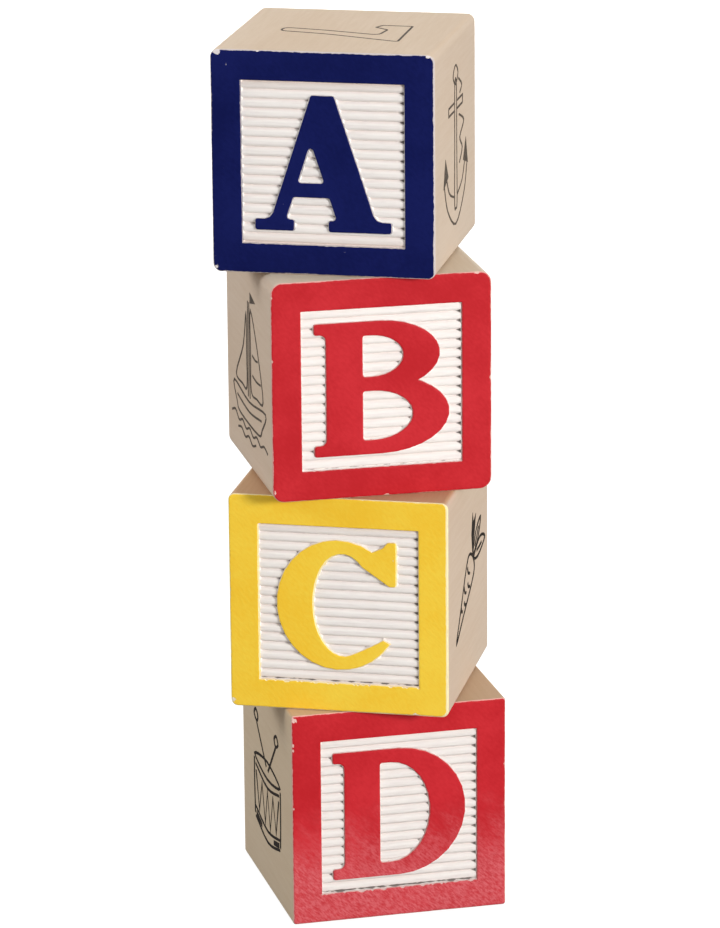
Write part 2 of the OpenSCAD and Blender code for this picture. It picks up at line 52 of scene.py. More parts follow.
cameraView = {
    "lens": 187.9,  # mm
    "sensor": 36,  # mm, along the picture's long side
    "place": (-0.0019, -0.9425, 0.3573),
    "aim": (-0.00205, -0.00045, 0.0892),
    "roll": 0.47,  # degrees, right side down
}
studio = {
    "skyForObject": 0.45,
    "skyForCamera": 1.0,
    "aim": (0, 0, 0.09),
    "floorSize": 6,
    "floorColour": (0.3, 0.296, 0.29, 1),
    "floorRoughness": 0.9,
    "floorGlow": 0.85,  # seen by the camera only, so that the floor is pale but throws little light up
}
# The key lamp shines in at a flatter angle than the camera looks, so overhanging corners hide their shadows
lamps = {
    "keyLamp": {"place": (0.78, -0.929, 0.392), "size": 0.25, "power": 11.8, "colour": (1.0, 0.985, 0.96)},
    "sideLamp": {"place": (-1.0, 0.1, 0.75), "size": 0.7, "power": 5.4, "colour": (1, 1, 1)},
    "topLamp": {"place": (0, 0.3, 1.3), "size": 0.5, "power": 2.6, "colour": (1, 1, 1)},
    "backLamp": {"place": (0, 1.2, 0.1), "size": 0.5, "power": 6, "colour": (1, 1, 1)},
}


def lookAt(place, aim):
    return (Vector(aim) - Vector(place)).to_track_quat("-Z", "Y")


def makeCamera():
    place = Vector(cameraView["place"])
    ahead = (Vector(cameraView["aim"]) - place).normalized()
    right = ahead.cross(Vector((0, 0, 1))).normalized()
    up = right.cross(ahead)
    roll = math.radians(cameraView["roll"])
    across = right * math.cos(roll) - up * math.sin(roll)
    upright = up * math.cos(roll) + right * math.sin(roll)
    data = bpy.data.cameras.new("photoCamera")
    data.lens = cameraView["lens"]
    data.sensor_width = cameraView["sensor"]
    made = bpy.data.objects.new("photoCamera", data)
    made.matrix_world = Matrix.Translation(place) @ Matrix((across, upright, -ahead)).transposed().to_4x4()
    scene.collection.objects.link(made)
    scene.camera = made


def makeLamp(name, values):
    data = bpy.data.lights.new(name, "AREA")
    data.shape = "DISK"
    data.size = values["size"]
    data.energy = values["power"]
    data.color = values["colour"]
    made = bpy.data.objects.new(name, data)
    made.location = values["place"]
    made.rotation_mode = "QUATERNION"
    made.rotation_quaternion = lookAt(values["place"], studio["aim"])
    scene.collection.objects.link(made)


def makeSky():
    sky = bpy.data.worlds.new("studioSky")
    scene.world = sky
    sky.use_nodes = True
    tree = sky.node_tree
    glow = tree.nodes["Background"]
    path = tree.nodes.new("ShaderNodeLightPath")
    pick = tree.nodes.new("ShaderNodeMapRange")
    pick.inputs["To Min"].default_value = studio["skyForObject"]
    pick.inputs["To Max"].default_value = studio["skyForCamera"]
    tree.links.new(path.outputs["Is Camera Ray"], pick.inputs["Value"])
    tree.links.new(pick.outputs[0], glow.inputs["Strength"])
    glow.inputs["Color"].default_value = (1, 1, 1, 1)


def makeFloor():
    half = studio["floorSize"] / 2
    mesh = bpy.data.meshes.new("floor")
    corners = [(-half, -half, 0), (half, -half, 0), (half, half, 0), (-half, half, 0)]
    mesh.from_pydata(corners, [], [(0, 1, 2, 3)])
    floor = bpy.data.objects.new("floor", mesh)
    scene.collection.objects.link(floor)
    paper = bpy.data.materials.new("paleFloor")
    paper.use_nodes = True
    shader = paper.node_tree.nodes["Principled BSDF"]
    shader.inputs["Base Color"].default_value = studio["floorColour"]
    shader.inputs["Roughness"].default_value = studio["floorRoughness"]
    shader.inputs["Emission Color"].default_value = (1, 1, 1, 1)
    path = paper.node_tree.nodes.new("ShaderNodeLightPath")
    glow = paper.node_tree.nodes.new("ShaderNodeMath")
    glow.operation = "MULTIPLY"
    glow.inputs[1].default_value = studio["floorGlow"]
    paper.node_tree.links.new(path.outputs["Is Camera Ray"], glow.inputs[0])
    paper.node_tree.links.new(glow.outputs[0], shader.inputs["Emission Strength"])
    mesh.materials.append(paper)


makeCamera()
makeSky()
for name, values in lamps.items():
    makeLamp(name, values)
makeFloor()
print("camera, lamps and floor made")

# What the material trees are made with


def put(tree, kind, inputs=None, **settings):
    made = tree.nodes.new(kind)
    for key, value in settings.items():
        setattr(made, key, value)
    for key, value in (inputs or {}).items():
        if isinstance(value, bpy.types.NodeSocket):
            tree.links.new(value, made.inputs[key])
        else:
            made.inputs[key].default_value = value
    return made


def calc(tree, operation, *values):
    return put(tree, "ShaderNodeMath", dict(enumerate(values)), operation=operation).outputs[0]


def remap(tree, value, low, high, outLow=0, outHigh=1):
    inputs = {"Value": value, "From Min": low, "From Max": high, "To Min": outLow, "To Max": outHigh}
    return put(tree, "ShaderNodeMapRange", inputs, interpolation_type="SMOOTHSTEP").outputs[0]


def blendColour(tree, share, first, second):
    made = put(tree, "ShaderNodeMix", {0: share, 6: first, 7: second}, data_type="RGBA")
    return made.outputs[2]


# Noise with so many repeats in a metre, the same all ways or stretched along the axes
def cloud(tree, vector, scale=1.0, detail=4, rough=0.6, stretch=None):
    if stretch:
        vector = put(tree, "ShaderNodeMapping", {"Vector": vector, "Scale": stretch}).outputs[0]
    inputs = {"Vector": vector, "Scale": scale, "Detail": detail, "Roughness": rough}
    return put(tree, "ShaderNodeTexNoise", inputs).outputs[0]


def slanted(tree, vector, slant, squeeze):  # leaning over by slant, in radians, and squeezed upwards
    inputs = {"Vector": vector, "Rotation": (0, slant, 0), "Scale": (1, 1, squeeze)}
    return put(tree, "ShaderNodeMapping", inputs, vector_type="TEXTURE").outputs[0]


def product(tree, first, *others):
    for other in others:
        first = calc(tree, "MULTIPLY", first, other)
    return first


def weighted(tree, first, firstShare, second, secondShare):
    return calc(tree, "ADD", product(tree, first, firstShare), product(tree, second, secondShare))


def swing(tree, value, reach):  # noise about its middle, to both sides of 0
    return product(tree, calc(tree, "SUBTRACT", value, 0.5), reach)


def partOf(tree, vector, axis):
    return put(tree, "ShaderNodeSeparateXYZ", {0: vector}).outputs[axis]


def startGroup(name, takes, gives):  # takes holds each input's own value, or None for a vector
    group = bpy.data.node_groups.new(name, "ShaderNodeTree")
    for title, value in takes.items():
        kind = "NodeSocketVector" if value is None else "NodeSocketFloat"
        socket = group.interface.new_socket(title, in_out="INPUT", socket_type=kind)
        if value is not None:
            socket.default_value = value
    for title in gives:
        group.interface.new_socket(title, in_out="OUTPUT", socket_type="NodeSocketFloat")
    return group, group.nodes.new("NodeGroupInput").outputs, group.nodes.new("NodeGroupOutput").inputs


def useGroup(tree, group, **inputs):
    return put(tree, "ShaderNodeGroup", inputs, node_tree=group).outputs


fibreGrain = {  # noise that runs along the grain, from front to back
    "broad": {"stretch": (60, 9, 60), "detail": 3, "rough": 0.5},
    "fine": {"stretch": (1500, 90, 1500), "detail": 3},
    "pores": {"stretch": (2600, 700, 2600), "detail": 2, "rough": 0.5},
    "broadShare": 0.6,
    "fineShare": 0.4,
    "shadeSpan": (0.3, 0.7),
    "poreSpan": (0.6, 0.75),
    "poreDepth": 0.5,
}


def makeFibreGroup():
    group, given, out = startGroup("woodFibre", {"Vector": None, "Scale": 1.0}, ["Shade", "Pores", "Height"])
    inputs = {0: given["Vector"], "Scale": given["Scale"]}
    spot = put(group, "ShaderNodeVectorMath", inputs, operation="SCALE").outputs[0]
    broad, fine, pores = (cloud(group, spot, **fibreGrain[part]) for part in ("broad", "fine", "pores"))
    shade = weighted(group, broad, fibreGrain["broadShare"], fine, fibreGrain["fineShare"])
    group.links.new(remap(group, shade, *fibreGrain["shadeSpan"]), out["Shade"])
    group.links.new(remap(group, pores, *fibreGrain["poreSpan"]), out["Pores"])
    height = calc(group, "SUBTRACT", fine, product(group, pores, fibreGrain["poreDepth"]))
    group.links.new(height, out["Height"])
    return group


coatGrain = {  # the roller's peel, which leans over, on broad clouds
    "slant": 0.8,
    "squeeze": 0.5,
    "peel": {"detail": 2, "rough": 0.5},
    "cloudShare": 0.7,
    "peelShare": 0.3,
    "shadeSpan": (0.32, 0.68),
}


def makeCoatGroup():
    takes = {"Vector": None, "Peel Scale": 900.0, "Cloud Scale": 70.0}
    group, given, out = startGroup("rolledCoat", takes, ["Shade", "Height"])
    leaning = slanted(group, given["Vector"], coatGrain["slant"], coatGrain["squeeze"])
    peel = cloud(group, leaning, given["Peel Scale"], **coatGrain["peel"])
    patches = cloud(group, given["Vector"], given["Cloud Scale"])
    shade = weighted(group, patches, coatGrain["cloudShare"], peel, coatGrain["peelShare"])
    group.links.new(remap(group, shade, *coatGrain["shadeSpan"]), out["Shade"])
    group.links.new(peel, out["Height"])
    return group


tornEdge = {  # fine bites on broad ones
    "fine": {"detail": 5, "rough": 0.65},
    "broad": {"detail": 3},
    "broadPart": 0.12,  # of the fine noise's scale
    "softness": (-0.04, 0.05),
}


def makeWearGroup():
    takes = {"Vector": None, "Gap": 1.0, "Reach": 0.1, "Ragged": 0.2, "Scale": 900.0}
    group, given, out = startGroup("edgeWear", takes, ["Mask"])
    fine = cloud(group, given["Vector"], given["Scale"], **tornEdge["fine"])
    broadScale = product(group, given["Scale"], tornEdge["broadPart"])
    broad = cloud(group, given["Vector"], broadScale, **tornEdge["broad"])
    torn = calc(group, "SUBTRACT", calc(group, "ADD", fine, broad), 1.0)
    edge = calc(group, "ADD", given["Gap"], product(group, torn, given["Ragged"]))
    past = calc(group, "SUBTRACT", given["Reach"], edge)
    group.links.new(remap(group, past, *tornEdge["softness"]), out["Mask"])
    return group


speckSoftness = (-0.05, 0.08)


def makeSpeckGroup():
    takes = {"Vector": None, "Scale": 700.0, "Amount": 0.1, "Size": 0.3}
    group, given, out = startGroup("straySpecks", takes, ["Mask"])
    cells = put(group, "ShaderNodeTexVoronoi", {"Vector": given["Vector"], "Scale": given["Scale"]})
    lot = put(group, "ShaderNodeSeparateColor", {0: cells.outputs["Color"]}).outputs[0]
    chosen = calc(group, "LESS_THAN", lot, given["Amount"])
    inside = calc(group, "SUBTRACT", given["Size"], cells.outputs["Distance"])
    group.links.new(product(group, chosen, remap(group, inside, *speckSoftness)), out["Mask"])
    return group


fibreGroup = makeFibreGroup()
coatGroup = makeCoatGroup()
wearGroup = makeWearGroup()
speckGroup = makeSpeckGroup()


def startMaterial(name, **constants):
    made = bpy.data.materials.new(name)
    made.use_nodes = True
    tree = made.node_tree
    shader = tree.nodes["Principled BSDF"]
    for key, value in constants.items():
        shader.inputs[key.replace("_", " ")].default_value = value
    return made, tree, shader.inputs


def raised(tree, height, strength, distance):
    inputs = {"Height": height, "Strength": strength, "Distance": distance}
    return put(tree, "ShaderNodeBump", inputs).outputs[0]


def shifted(tree, vector, seed, shift):  # moved by shift, in metres, for each step of the seed
    place = tuple(seed * part for part in shift)
    return put(tree, "ShaderNodeMapping", {"Vector": vector, "Location": place}).outputs[0]


def objectSpot(tree):
    return put(tree, "ShaderNodeTexCoord").outputs["Object"]


def measured(tree, name):
    return put(tree, "ShaderNodeAttribute", attribute_name=name).outputs["Fac"]


# The four blocks, from the bottom of the stack to the top. Whiteness, and how much darker the rows at the
# head and foot of the panel are made, are those of the ground coat. The foot is that of the panel: how far
# its paint is torn back, in mm, and how much painted shade and soiling lies along it. The tint for the top is
# painted shade and bounced light on faces that look up. Below a share of the side up from the middle, the
# paint gets a painted sheen, a reflection of the pale floor. A chip is across and up from the middle of the
# face, as shares of the side, then how far it reaches along the rim, in mm.

blocks = {
    "block_d": {
        "edgeRadius": 0.6, "paint": "red", "ink": "black", "seed": 3,
        "woodTint": (0.9, 0.9, 0.83, 1), "topShadeAndBounce": (0.86, 0.75, 0.63, 1),
        "whiteness": 0.96, "marginDarkening": 0.1, "footTear": 0.38, "footShadeAndGrime": 1.7, "sheenBelow": -0.15,
        "chips": [(-0.488, 0.48, 0.55), (-0.494, 0.36, 0.45), (-0.494, 0.335, 0.45), (0.494, 0.18, 0.4),
                  (-0.494, 0.06, 0.35)],
    },
    "block_c": {
        "edgeRadius": 1.4, "paint": "yellow", "ink": "black", "seed": 7,
        "woodTint": (0.95, 0.94, 0.94, 1), "topShadeAndBounce": (0.86, 0.67, 0.5, 1),
        "whiteness": 1.04, "marginDarkening": 0.4, "footTear": 0.32, "footShadeAndGrime": 1.3,
        "chips": [(0.347, -0.496, 0.5), (-0.49, -0.47, 0.5)],
    },
    "block_b": {
        "edgeRadius": 2.4, "paint": "red", "ink": "grey", "seed": 11,
        "woodTint": (0.98, 0.97, 0.97, 1), "topShadeAndBounce": (1.02, 1.07, 1.07, 1),
        "whiteness": 1.03, "marginDarkening": 0, "footTear": 0.08, "footShadeAndGrime": 0.95,
        "chips": [(0.434, 0.496, 0.5), (-0.496, 0.435, 0.35), (-0.496, 0.15, 0.35), (0.496, 0.014, 0.5),
                  (0.018, -0.496, 0.5), (-0.49, -0.453, 0.5)],
    },
    "block_a": {
        "edgeRadius": 1.6, "paint": "navy", "ink": "grey", "seed": 17,
        "woodTint": (0.95, 0.96, 0.98, 1), "topShadeAndBounce": (1, 0.99, 0.96, 1),
        "whiteness": 1.06, "marginDarkening": 0.7, "footTear": 0.06, "footShadeAndGrime": 0.3,
        "chips": [(-0.472, 0.488, 1.0), (-0.285, 0.496, 0.4), (0.472, 0.494, 0.5), (-0.488, -0.48, 0.5)],
    },
}


# Bare wood

woodLook = {
    "pale": (0.72, 0.585, 0.46, 1),
    "deep": (0.67, 0.525, 0.395, 1),
    "pore": (0.5, 0.36, 0.25, 1),
    "porePart": 0.12,
    "seedShift": (0.1, 0.07, 0.13),
    "topSpan": (0.6, 0.95),  # how far a face looks up before it has the top's painted shade and bounced light
    "specular": 0.3,
    "deepRoughness": 0.82,
    "paleRoughness": 0.75,
    "toothStrength": 0.5,
    "toothDepth": 0.00003,
}


def makeWood(name, seed, tint, topShadeAndBounce):
    made, tree, shader = startMaterial(name, Specular_IOR_Level=woodLook["specular"])
    spot = shifted(tree, objectSpot(tree), seed, woodLook["seedShift"])
    fibre = useGroup(tree, fibreGroup, Vector=spot, Scale=1.0)
    tone = blendColour(tree, fibre["Shade"], woodLook["deep"], woodLook["pale"])
    tone = blendColour(tree, product(tree, fibre["Pores"], woodLook["porePart"]), tone, woodLook["pore"])
    upwards = partOf(tree, put(tree, "ShaderNodeTexCoord").outputs["Normal"], "Z")
    # Faces that look up get the top's tint: painted shade and painted bounce light, as between the stacked
    # blocks
    tint = blendColour(tree, remap(tree, upwards, *woodLook["topSpan"]), tint, topShadeAndBounce)
    inputs = {0: 1.0, 6: tone, 7: tint}
    tinted = put(tree, "ShaderNodeMix", inputs, data_type="RGBA", blend_type="MULTIPLY").outputs[2]
    tree.links.new(tinted, shader["Base Color"])
    rough = remap(tree, fibre["Shade"], 0, 1, woodLook["deepRoughness"], woodLook["paleRoughness"])
    tree.links.new(rough, shader["Roughness"])
    tooth = raised(tree, fibre["Height"], woodLook["toothStrength"], woodLook["toothDepth"])
    tree.links.new(tooth, shader["Normal"])
    return made


# Paint on borders and letters

# Halo is how far, in mm, the worn colour reaches further in at edges that look the haloTowards way: a painted
# highlight on edges that face the light
paints = {
    "navy": {
        "deep": (0.0045, 0.0078, 0.076, 1), "light": (0.0078, 0.0125, 0.106, 1),
        "worn": (0.62, 0.56, 0.56, 1), "chip": (0.78, 0.72, 0.72, 1),
        "roughness": 0.55, "gloss": 0.05, "peel": 0.00003, "halo": 0.15, "haloTowards": (0.95, 0.3),
    },
    "red": {
        "deep": (0.5, 0.0115, 0.0185, 1), "light": (0.605, 0.0235, 0.0335, 1),
        "worn": (0.8, 0.42, 0.38, 1), "chip": (0.84, 0.56, 0.5, 1),
        "roughness": 0.5, "gloss": 0.12, "peel": 0.00003, "halo": 0.03, "haloTowards": (0.95, 0.3),
    },
    "yellow": {
        "deep": (0.975, 0.598, 0.038, 1), "light": (0.998, 0.69, 0.066, 1),
        "worn": (0.95, 0.84, 0.5, 1), "chip": (0.9, 0.8, 0.6, 1),
        "roughness": 0.5, "gloss": 0.12, "peel": 0.00007, "halo": 0.26, "haloTowards": (1, -0.15),
    },
}
wearLook = {
    "seedShift": (0.11, 0, 0.05),
    "reach": -0.11,
    "ragged": 0.35,
    "chipReach": 0.5,
    "chipRagged": 1.3,
    "chipScale": 1500.0,
    "specks": {"Scale": 180.0, "Amount": 0.02, "Size": 0.08},
    "bareRoughness": 0.8,
    "bareDrop": 1.5,
    "peelStrength": 0.6,
}
sheenLook = {
    "colour": (0.72, 0.16, 0.18, 1),
    "share": 0.78,
    "softness": 0.42,
    "slant": 0.75,
    "squeeze": 0.35,
    "uneven": 0.5,
    "unevenScale": 90,
    "sheenStreaks": {"scale": 1100, "detail": 3},
    "sheenStreakSpan": (0.3, 0.7, 0.25, 1),
}


# Painted sheen: paler from the foot of a face upwards, in slanting streaks, a painted reflection of the pale
# floor
def paintedSheen(tree, spot, below, side):
    height = calc(tree, "DIVIDE", partOf(tree, spot, "Z"), side)
    leaning = slanted(tree, spot, sheenLook["slant"], sheenLook["squeeze"])
    uneven = swing(tree, cloud(tree, leaning, sheenLook["unevenScale"]), sheenLook["uneven"])
    soft = sheenLook["softness"] / 2
    low = remap(tree, calc(tree, "ADD", height, uneven), below + soft, below - soft)
    sheenStreaks = remap(tree, cloud(tree, leaning, **sheenLook["sheenStreaks"]), *sheenLook["sheenStreakSpan"])
    return product(tree, low, sheenStreaks, sheenLook["share"])


def makePaint(name, values, side):
    look = paints[values["paint"]]
    made, tree, shader = startMaterial(name, Specular_IOR_Level=look["gloss"])
    ownSpot = objectSpot(tree)
    spot = shifted(tree, ownSpot, values["seed"], wearLook["seedShift"])
    coat = useGroup(tree, coatGroup, Vector=spot)
    tone = blendColour(tree, coat["Shade"], look["deep"], look["light"])
    if "sheenBelow" in values:
        sheen = paintedSheen(tree, ownSpot, values["sheenBelow"], side)
        tone = blendColour(tree, sheen, tone, sheenLook["colour"])
    # The worn colour is real edge wear, and a painted highlight where the edge gap was drawn in towards the
    # light
    worn = useGroup(tree, wearGroup, Vector=spot, Gap=measured(tree, "edgeGap"), Reach=wearLook["reach"],
                    Ragged=wearLook["ragged"])["Mask"]
    tone = blendColour(tree, worn, tone, look["worn"])
    chipGap = calc(tree, "SUBTRACT", 1.0, measured(tree, "chip"))
    chipped = useGroup(tree, wearGroup, Vector=spot, Gap=chipGap, Reach=wearLook["chipReach"],
                       Ragged=wearLook["chipRagged"], Scale=wearLook["chipScale"])["Mask"]
    tone = blendColour(tree, chipped, tone, look["chip"])
    specks = useGroup(tree, speckGroup, Vector=spot, **wearLook["specks"])["Mask"]
    tree.links.new(blendColour(tree, specks, tone, look["worn"]), shader["Base Color"])
    bare = calc(tree, "MAXIMUM", worn, chipped)
    rough = remap(tree, bare, 0, 1, look["roughness"], wearLook["bareRoughness"])
    tree.links.new(rough, shader["Roughness"])
    height = calc(tree, "SUBTRACT", coat["Height"], product(tree, bare, wearLook["bareDrop"]))
    tree.links.new(raised(tree, height, wearLook["peelStrength"], look["peel"]), shader["Normal"])
    return made


# White ground coat over the ribs

groundLook = {  # depths are in mm under the painted face
    "roughness": 0.65,
    "crest": (0.88, 0.84, 0.81, 1),
    "groove": (0.82, 0.74, 0.71, 1),
    "whitest": 0.95,
    "grooveSpan": (0.55, 1.1),
    "smudgeScale": 220,
    "smudgeSpan": (0.2, 0.8, 0.5, 1),
    "streak": (0.80, 0.74, 0.72, 1),
    "streaks": {"stretch": (160, 160, 2200)},
    "streakSpan": (0.45, 0.7, 0, 0.7),
    "margin": (0.78, 0.66, 0.60, 1),
    "marginWidth": 2.2,  # mm, along the head and the foot of the panel
    "specks": {"Scale": 2200.0, "Amount": 0.12, "Size": 0.4},
    "speckSpan": (0.9, 0.3),
    "dripScale": 1300,
    "dripReach": 0.6,
    "bleedSpan": (0.45, 0.39),
    "bleedShare": 0.85,
    "wallUp": 0.4,  # share of the bleeding paint on walls that look up
    # A dark colour for the painted shadow at the foot of walls that look left, and for painted shade and
    # soiling along the panel's foot
    "shadeAndGrimeColour": (0.10, 0.075, 0.06, 1),
    "shadeAndGrimeSpan": (0.6, 0.8),
    "shadeAndGrimeDrip": 0.5,
    "shadeAndGrimeTaper": 0.6,
    "shadeAndGrimeShare": 0.8,
    "tooth": {"scale": 1800, "detail": 3},
    "toothStrength": 0.4,
    "toothDepth": 0.00004,
}


def whitened(tone, share):
    return tuple(min(groundLook["whitest"], part * share) for part in tone[:3]) + (1,)


def makeGround(name, values, side, panelHalf):
    look, paint, white = groundLook, paints[values["paint"]], values["whiteness"]
    made, tree, shader = startMaterial(name, Roughness=look["roughness"])
    spot = objectSpot(tree)
    depth = calc(tree, "DIVIDE", calc(tree, "ADD", partOf(tree, spot, "Y"), side / 2), mm)
    smudge = remap(tree, cloud(tree, spot, look["smudgeScale"] + values["seed"]), *look["smudgeSpan"])
    # Painted shade, in smudged patches, deeper down in the grooves
    grooveShadeAndSmudge = product(tree, remap(tree, depth, *look["grooveSpan"]), smudge)
    tone = blendColour(tree, grooveShadeAndSmudge, whitened(look["crest"], white), whitened(look["groove"], white))
    streaks = remap(tree, cloud(tree, spot, **look["streaks"]), *look["streakSpan"])
    tone = blendColour(tree, streaks, tone, whitened(look["streak"], white))
    # Darker rows at the head and foot of the panel, next to its walls
    fromMiddle = calc(tree, "ABSOLUTE", partOf(tree, spot, "Z"))
    marginFrom = (panelHalf - look["marginWidth"]) * mm
    near = remap(tree, fromMiddle, marginFrom, panelHalf * mm, 0, values["marginDarkening"])
    tone = blendColour(tree, near, tone, look["margin"])
    stray = useGroup(tree, speckGroup, Vector=spot, **look["specks"])["Mask"]
    onWall = product(tree, measured(tree, "wall"), remap(tree, depth, *look["speckSpan"]))
    tone = blendColour(tree, product(tree, stray, onWall), tone, paint["light"])
    drip = swing(tree, cloud(tree, spot, look["dripScale"]), look["dripReach"])
    bleed = remap(tree, calc(tree, "ADD", depth, drip), *look["bleedSpan"])
    bleed = product(tree, bleed, measured(tree, "wall"), look["bleedShare"])
    tone = blendColour(tree, bleed, tone, paint["deep"])
    # Painted shadow in the grooves at the foot of walls that look left, away from the key lamp, and painted
    # shade with soiling along the panel's foot
    clear = product(tree, calc(tree, "SUBTRACT", 1.0, measured(tree, "lee")), look["shadeAndGrimeTaper"])
    wavy = calc(tree, "ADD", depth, product(tree, drip, look["shadeAndGrimeDrip"]))
    shadeAndGrimeMask = remap(tree, calc(tree, "SUBTRACT", wavy, clear), *look["shadeAndGrimeSpan"], 0, look["shadeAndGrimeShare"])
    tree.links.new(blendColour(tree, shadeAndGrimeMask, tone, look["shadeAndGrimeColour"]), shader["Base Color"])
    tooth = raised(tree, cloud(tree, spot, **look["tooth"]), look["toothStrength"], look["toothDepth"])
    tree.links.new(tooth, shader["Normal"])
    return made


# Printing ink

inks = {
    "black": {"full": (0.012, 0.008, 0.006, 1), "thin": (0.05, 0.032, 0.022, 1)},
    "grey": {"full": (0.09, 0.07, 0.055, 1), "thin": (0.17, 0.135, 0.105, 1)},
}
inkLook = {
    "roughness": 0.8,
    "specular": 0.25,
    "thinScale": 1400,
    "thinSpan": (0.45, 0.7),
    "tooth": {"scale": 2500, "detail": 2, "rough": 0.5},
    "toothStrength": 0.3,
    "toothDepth": 0.00002,
}


def makeInk(name, colour):
    look = inkLook
    made, tree, shader = startMaterial(name, Roughness=look["roughness"], Specular_IOR_Level=look["specular"])
    spot = objectSpot(tree)
    thinness = remap(tree, cloud(tree, spot, look["thinScale"]), *look["thinSpan"])
    tone = blendColour(tree, thinness, inks[colour]["full"], inks[colour]["thin"])
    tree.links.new(tone, shader["Base Color"])
    tooth = raised(tree, cloud(tree, spot, **look["tooth"]), look["toothStrength"], look["toothDepth"])
    tree.links.new(tooth, shader["Normal"])
    return made


inkMaterials = {colour: makeInk(colour + "Ink", colour) for colour in inks}
print("node groups and inks made")

# Reading a block from the frame


def readPose(block):  # the middle and the turn of its cube, and the cube's side
    low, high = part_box(block + "_body")
    centre = (low + high) / 2
    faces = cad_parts[block + "_front_border"].data.polygons
    outer = [face for face in faces if face.normal.dot(face.center - centre) > 0]
    ahead = max(outer, key=lambda face: face.area).normal
    turn = math.atan2(ahead.x, -ahead.y)
    return Matrix.Translation(centre) @ Matrix.Rotation(turn, 4, "Z"), high.z - low.z


outlineReading = {"flatWithin": 0.005, "digits": 3}  # mm, and the digits of a mm that tell corners apart


def readOutlines(node, pose):  # closed outlines on the painted face, in mm, the solid side on the left
    toBlock = pose.inverted()
    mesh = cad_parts[node].data
    spots = [toBlock @ vertex.co for vertex in mesh.vertices]
    faceY = min(spot.y for spot in spots)
    digits, flat = outlineReading["digits"], faceY + outlineReading["flatWithin"] * mm
    keys = [(round(spot.x / mm, digits), round(spot.z / mm, digits)) for spot in spots]
    steps = set()
    for face in mesh.polygons:
        ring = list(face.vertices)
        if all(spots[i].y < flat for i in ring):
            steps.update((keys[a], keys[b]) for a, b in zip(ring, ring[1:] + ring[:1]) if keys[a] != keys[b])
    after = {a: b for a, b in steps if (b, a) not in steps}
    outlines = []
    while after:
        first = next(iter(sorted(after)))
        outline, step = [first], after.pop(first)
        while step != first:
            outline.append(step)
            step = after.pop(step)
        outlines.append([Vector(point) for point in outline])
    return outlines


# Points and faces. Faces are laid out in mm: across and up from the middle, and sunk under the painted face.

ringLimits = {"sharpest": 0.4, "leastRadius": 0.1, "smoothBelow": 40}  # a share, mm and degrees


def within(value):
    return min(1, max(0, value))


def outwards(outline):  # at each corner, the way out of the solid side
    ways = []
    for before, here, after in zip(outline[-1:] + outline[:-1], outline, outline[1:] + outline[:1]):
        into = (here - before).normalized()
        onward = (after - here).normalized()
        first, second = Vector((into.y, -into.x)), Vector((onward.y, -onward.x))
        ways.append((first + second) / max(ringLimits["sharpest"], 1 + first.dot(second)))
    return ways


def grownOutline(outline, reach):
    return [here + reach * way for here, way in zip(outline, outwards(outline))]


def paintedHighlightGaps(gap, ways, halo, towards):  # painted highlight: the pale worn colour reaches further in where the edge looks the given way, towards the light
    towards = Vector(towards).normalized()
    return [gap - halo * max(0, way.normalized().dot(towards)) for way in ways]


def roundSquare(half, radius, cornerSteps, sideSteps):  # (point, direction outwards) for each place on it
    radius = max(radius, ringLimits["leastRadius"])
    straight = half - radius
    quarter = [(Vector((half, -straight + 2 * straight * i / sideSteps)), 0) for i in range(sideSteps)]
    for i in range(cornerSteps):
        turn = math.pi / 2 * i / cornerSteps
        bend = Vector((math.cos(turn), math.sin(turn)))
        quarter.append((Vector((straight, straight)) + radius * bend, turn))
    places = []
    for side in range(4):
        spin = math.pi / 2 * side
        for point, turn in quarter:
            out = Vector((math.cos(turn + spin), math.sin(turn + spin)))
            places.append((Matrix.Rotation(spin, 2) @ point, out))
    return places


# Facing is the way each place of a wall looks; the last argument is the share of painted shade and soiling
# that it holds along the panel's foot
def ringOf(bm, points, sunk, half, gaps=None, chips=None, facing=None, shadeAndGrime=None):
    layers = bm.verts.layers.float
    ring = []
    for i, point in enumerate(points):
        made = bm.verts.new((point.x * mm, (sunk - half) * mm, point.y * mm))
        made[layers["edgeGap"]] = gaps[i] if gaps else 0
        made[layers["chip"]] = chips[i] if chips else 0
        made[layers["wall"]] = 1 - (1 - groundLook["wallUp"]) * max(0, facing[i].y) if facing else 0
        made[layers["lee"]] = max(-facing[i].x if facing else 0, shadeAndGrime[i] if shadeAndGrime else 0)
        ring.append(made)
    return ring


def joinRings(bm, rings, closed=False):
    for first, second in zip(rings, rings[1:] + (rings[:1] if closed else [])):
        for i in range(len(first)):
            j = (i + 1) % len(first)
            bm.faces.new((first[i], first[j], second[j], second[i]))


def capRings(bm, rings):
    flat = [vertex for ring in rings for vertex in ring]
    for corners in tessellate_polygon([[Vector((v.co.x, v.co.z, 0)) for v in ring] for ring in rings]):
        bm.faces.new([flat[i] for i in corners])


def startMesh():
    bm = bmesh.new()
    for layer in ("edgeGap", "chip", "wall", "lee"):
        bm.verts.layers.float.new(layer)
    return bm


def finishPiece(bm, name, pose, body, material, node):
    bmesh.ops.recalc_face_normals(bm, faces=bm.faces)
    mesh = bpy.data.meshes.new(name)
    bm.to_mesh(mesh)
    bm.free()
    mesh.materials.append(material)
    made = bpy.data.objects.new(name, mesh)
    scene.collection.objects.link(made)
    mesh.shade_smooth()
    mesh.set_sharp_from_angle(angle=math.radians(ringLimits["smoothBelow"]))
    made.matrix_world = pose
    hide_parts(node)
    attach(made, body)


# Wear on the rim of a face: how far each place is drawn in, and how chipped it is

rimWear = {
    "bite": 0.03,
    "biteLength": 3.0,
    "fineScale": 1.7,
    "fineShare": 0.5,
    "backSeed": 50,
    "seedStep": 10,
    "fineSeed": 5,
    "chipBite": 0.12,
    "chipWidth": 0.55,  # of its length, away from the corners
    "cornerWithin": 0.03,  # of the side
}


